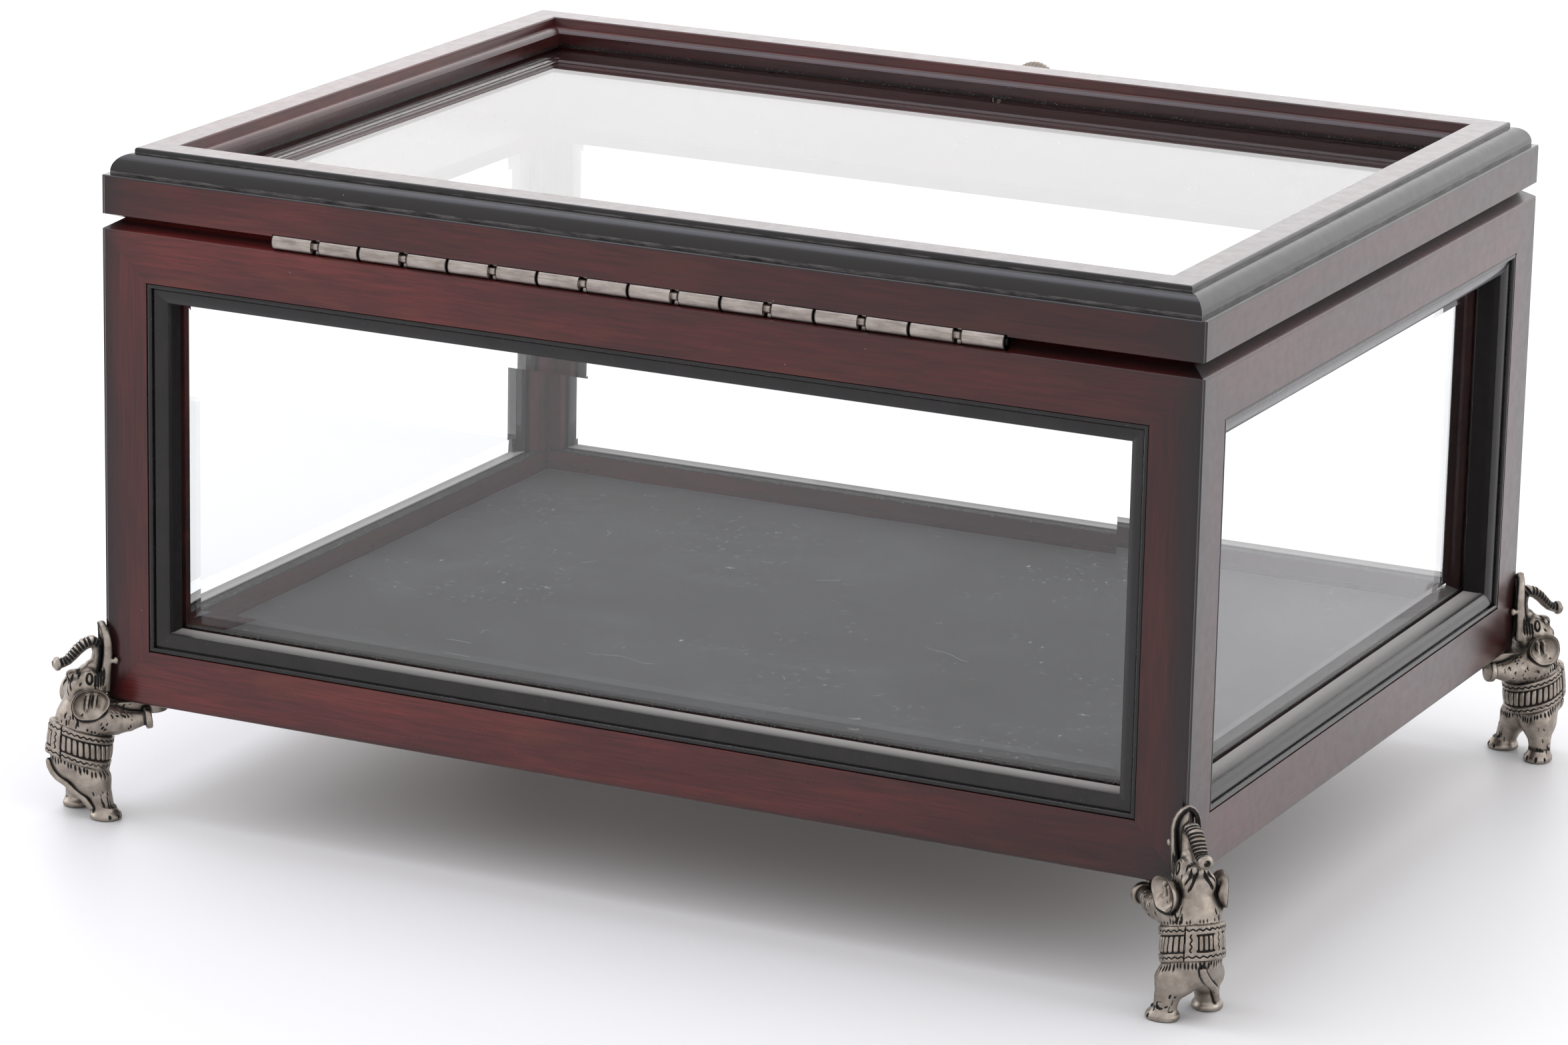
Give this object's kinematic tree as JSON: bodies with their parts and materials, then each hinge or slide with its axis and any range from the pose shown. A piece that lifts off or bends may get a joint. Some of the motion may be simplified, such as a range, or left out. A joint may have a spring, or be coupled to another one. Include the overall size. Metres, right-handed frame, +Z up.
{
  "type": "tabletop display case",
  "caption": "Rectangular glazed display box of mitred, moulded wood frames with a hinged glazed lid, a lined floor and cast figural corner feet.",
  "frame": {"origin": "on the table, under the middle of the overall box", "axes": "+Z up, +X along the long sides, -Y towards the lid's knob, so the hinge is on the +Y side"},
  "size_m": [0.4416, 0.3464, 0.2359],
  "materials": {
    "mahogany": "satin lacquer over dark red stain",
    "black_moulding": "satin black lacquer",
    "plywood": "stained, matt",
    "glass": "clear, polished, bevelled edge",
    "felt": "matt charcoal felt",
    "nickel": "satin nickel plate",
    "pewter": "antiqued, dark in the recesses and rubbed bright on the high spots",
    "bumper": "translucent"
  },
  "bodies": {
    "case": {"front_bottom_rail": "mahogany", "front_top_rail": "mahogany", "front_left_stile": "mahogany", "front_right_stile": "mahogany", "front_window_moulding": "black_moulding", "front_glass_pane": "glass", "front_glass_stop": "mahogany", "right_bottom_rail": "mahogany", "right_top_rail": "mahogany", "right_left_stile": "mahogany", "right_right_stile": "mahogany", "right_window_moulding": "black_moulding", "right_glass_pane": "glass", "right_glass_stop": "mahogany", "back_bottom_rail": "mahogany", "back_top_rail": "mahogany", "back_left_stile": "mahogany", "back_right_stile": "mahogany", "back_window_moulding": "black_moulding", "back_glass_pane": "glass", "back_glass_stop": "mahogany", "left_bottom_rail": "mahogany", "left_top_rail": "mahogany", "left_left_stile": "mahogany", "left_right_stile": "mahogany", "left_window_moulding": "black_moulding", "left_glass_pane": "glass", "left_glass_stop": "mahogany", "bottom_panel": "plywood", "floor_lining": "felt", "hinge_leaf_case": "nickel", "hinge_pin": "nickel", "hinge_screws_case": "nickel", "lid_bumpers": "bumper", "foot_screws": "nickel", "front_left_elephant_foot": "pewter", "front_right_elephant_foot": "pewter", "back_right_elephant_foot": "pewter", "back_left_elephant_foot": "pewter"},
    "lid": {"lid_front_rail": "mahogany", "lid_right_rail": "mahogany", "lid_back_rail": "mahogany", "lid_left_rail": "mahogany", "lid_glass": "glass", "lid_glass_stop": "mahogany", "hinge_leaf_lid": "nickel", "hinge_screws_lid": "nickel", "lid_knob": "pewter", "knob_screw": "nickel"}
  },
  "joints": [
    {"name": "lid_hinge", "type": "hinge", "parent": "case", "child": "lid", "pos_m": [0, 0.1537, 0.21185], "axis": [-1, 0, 0], "range_deg": [0, 95]}
  ]
}
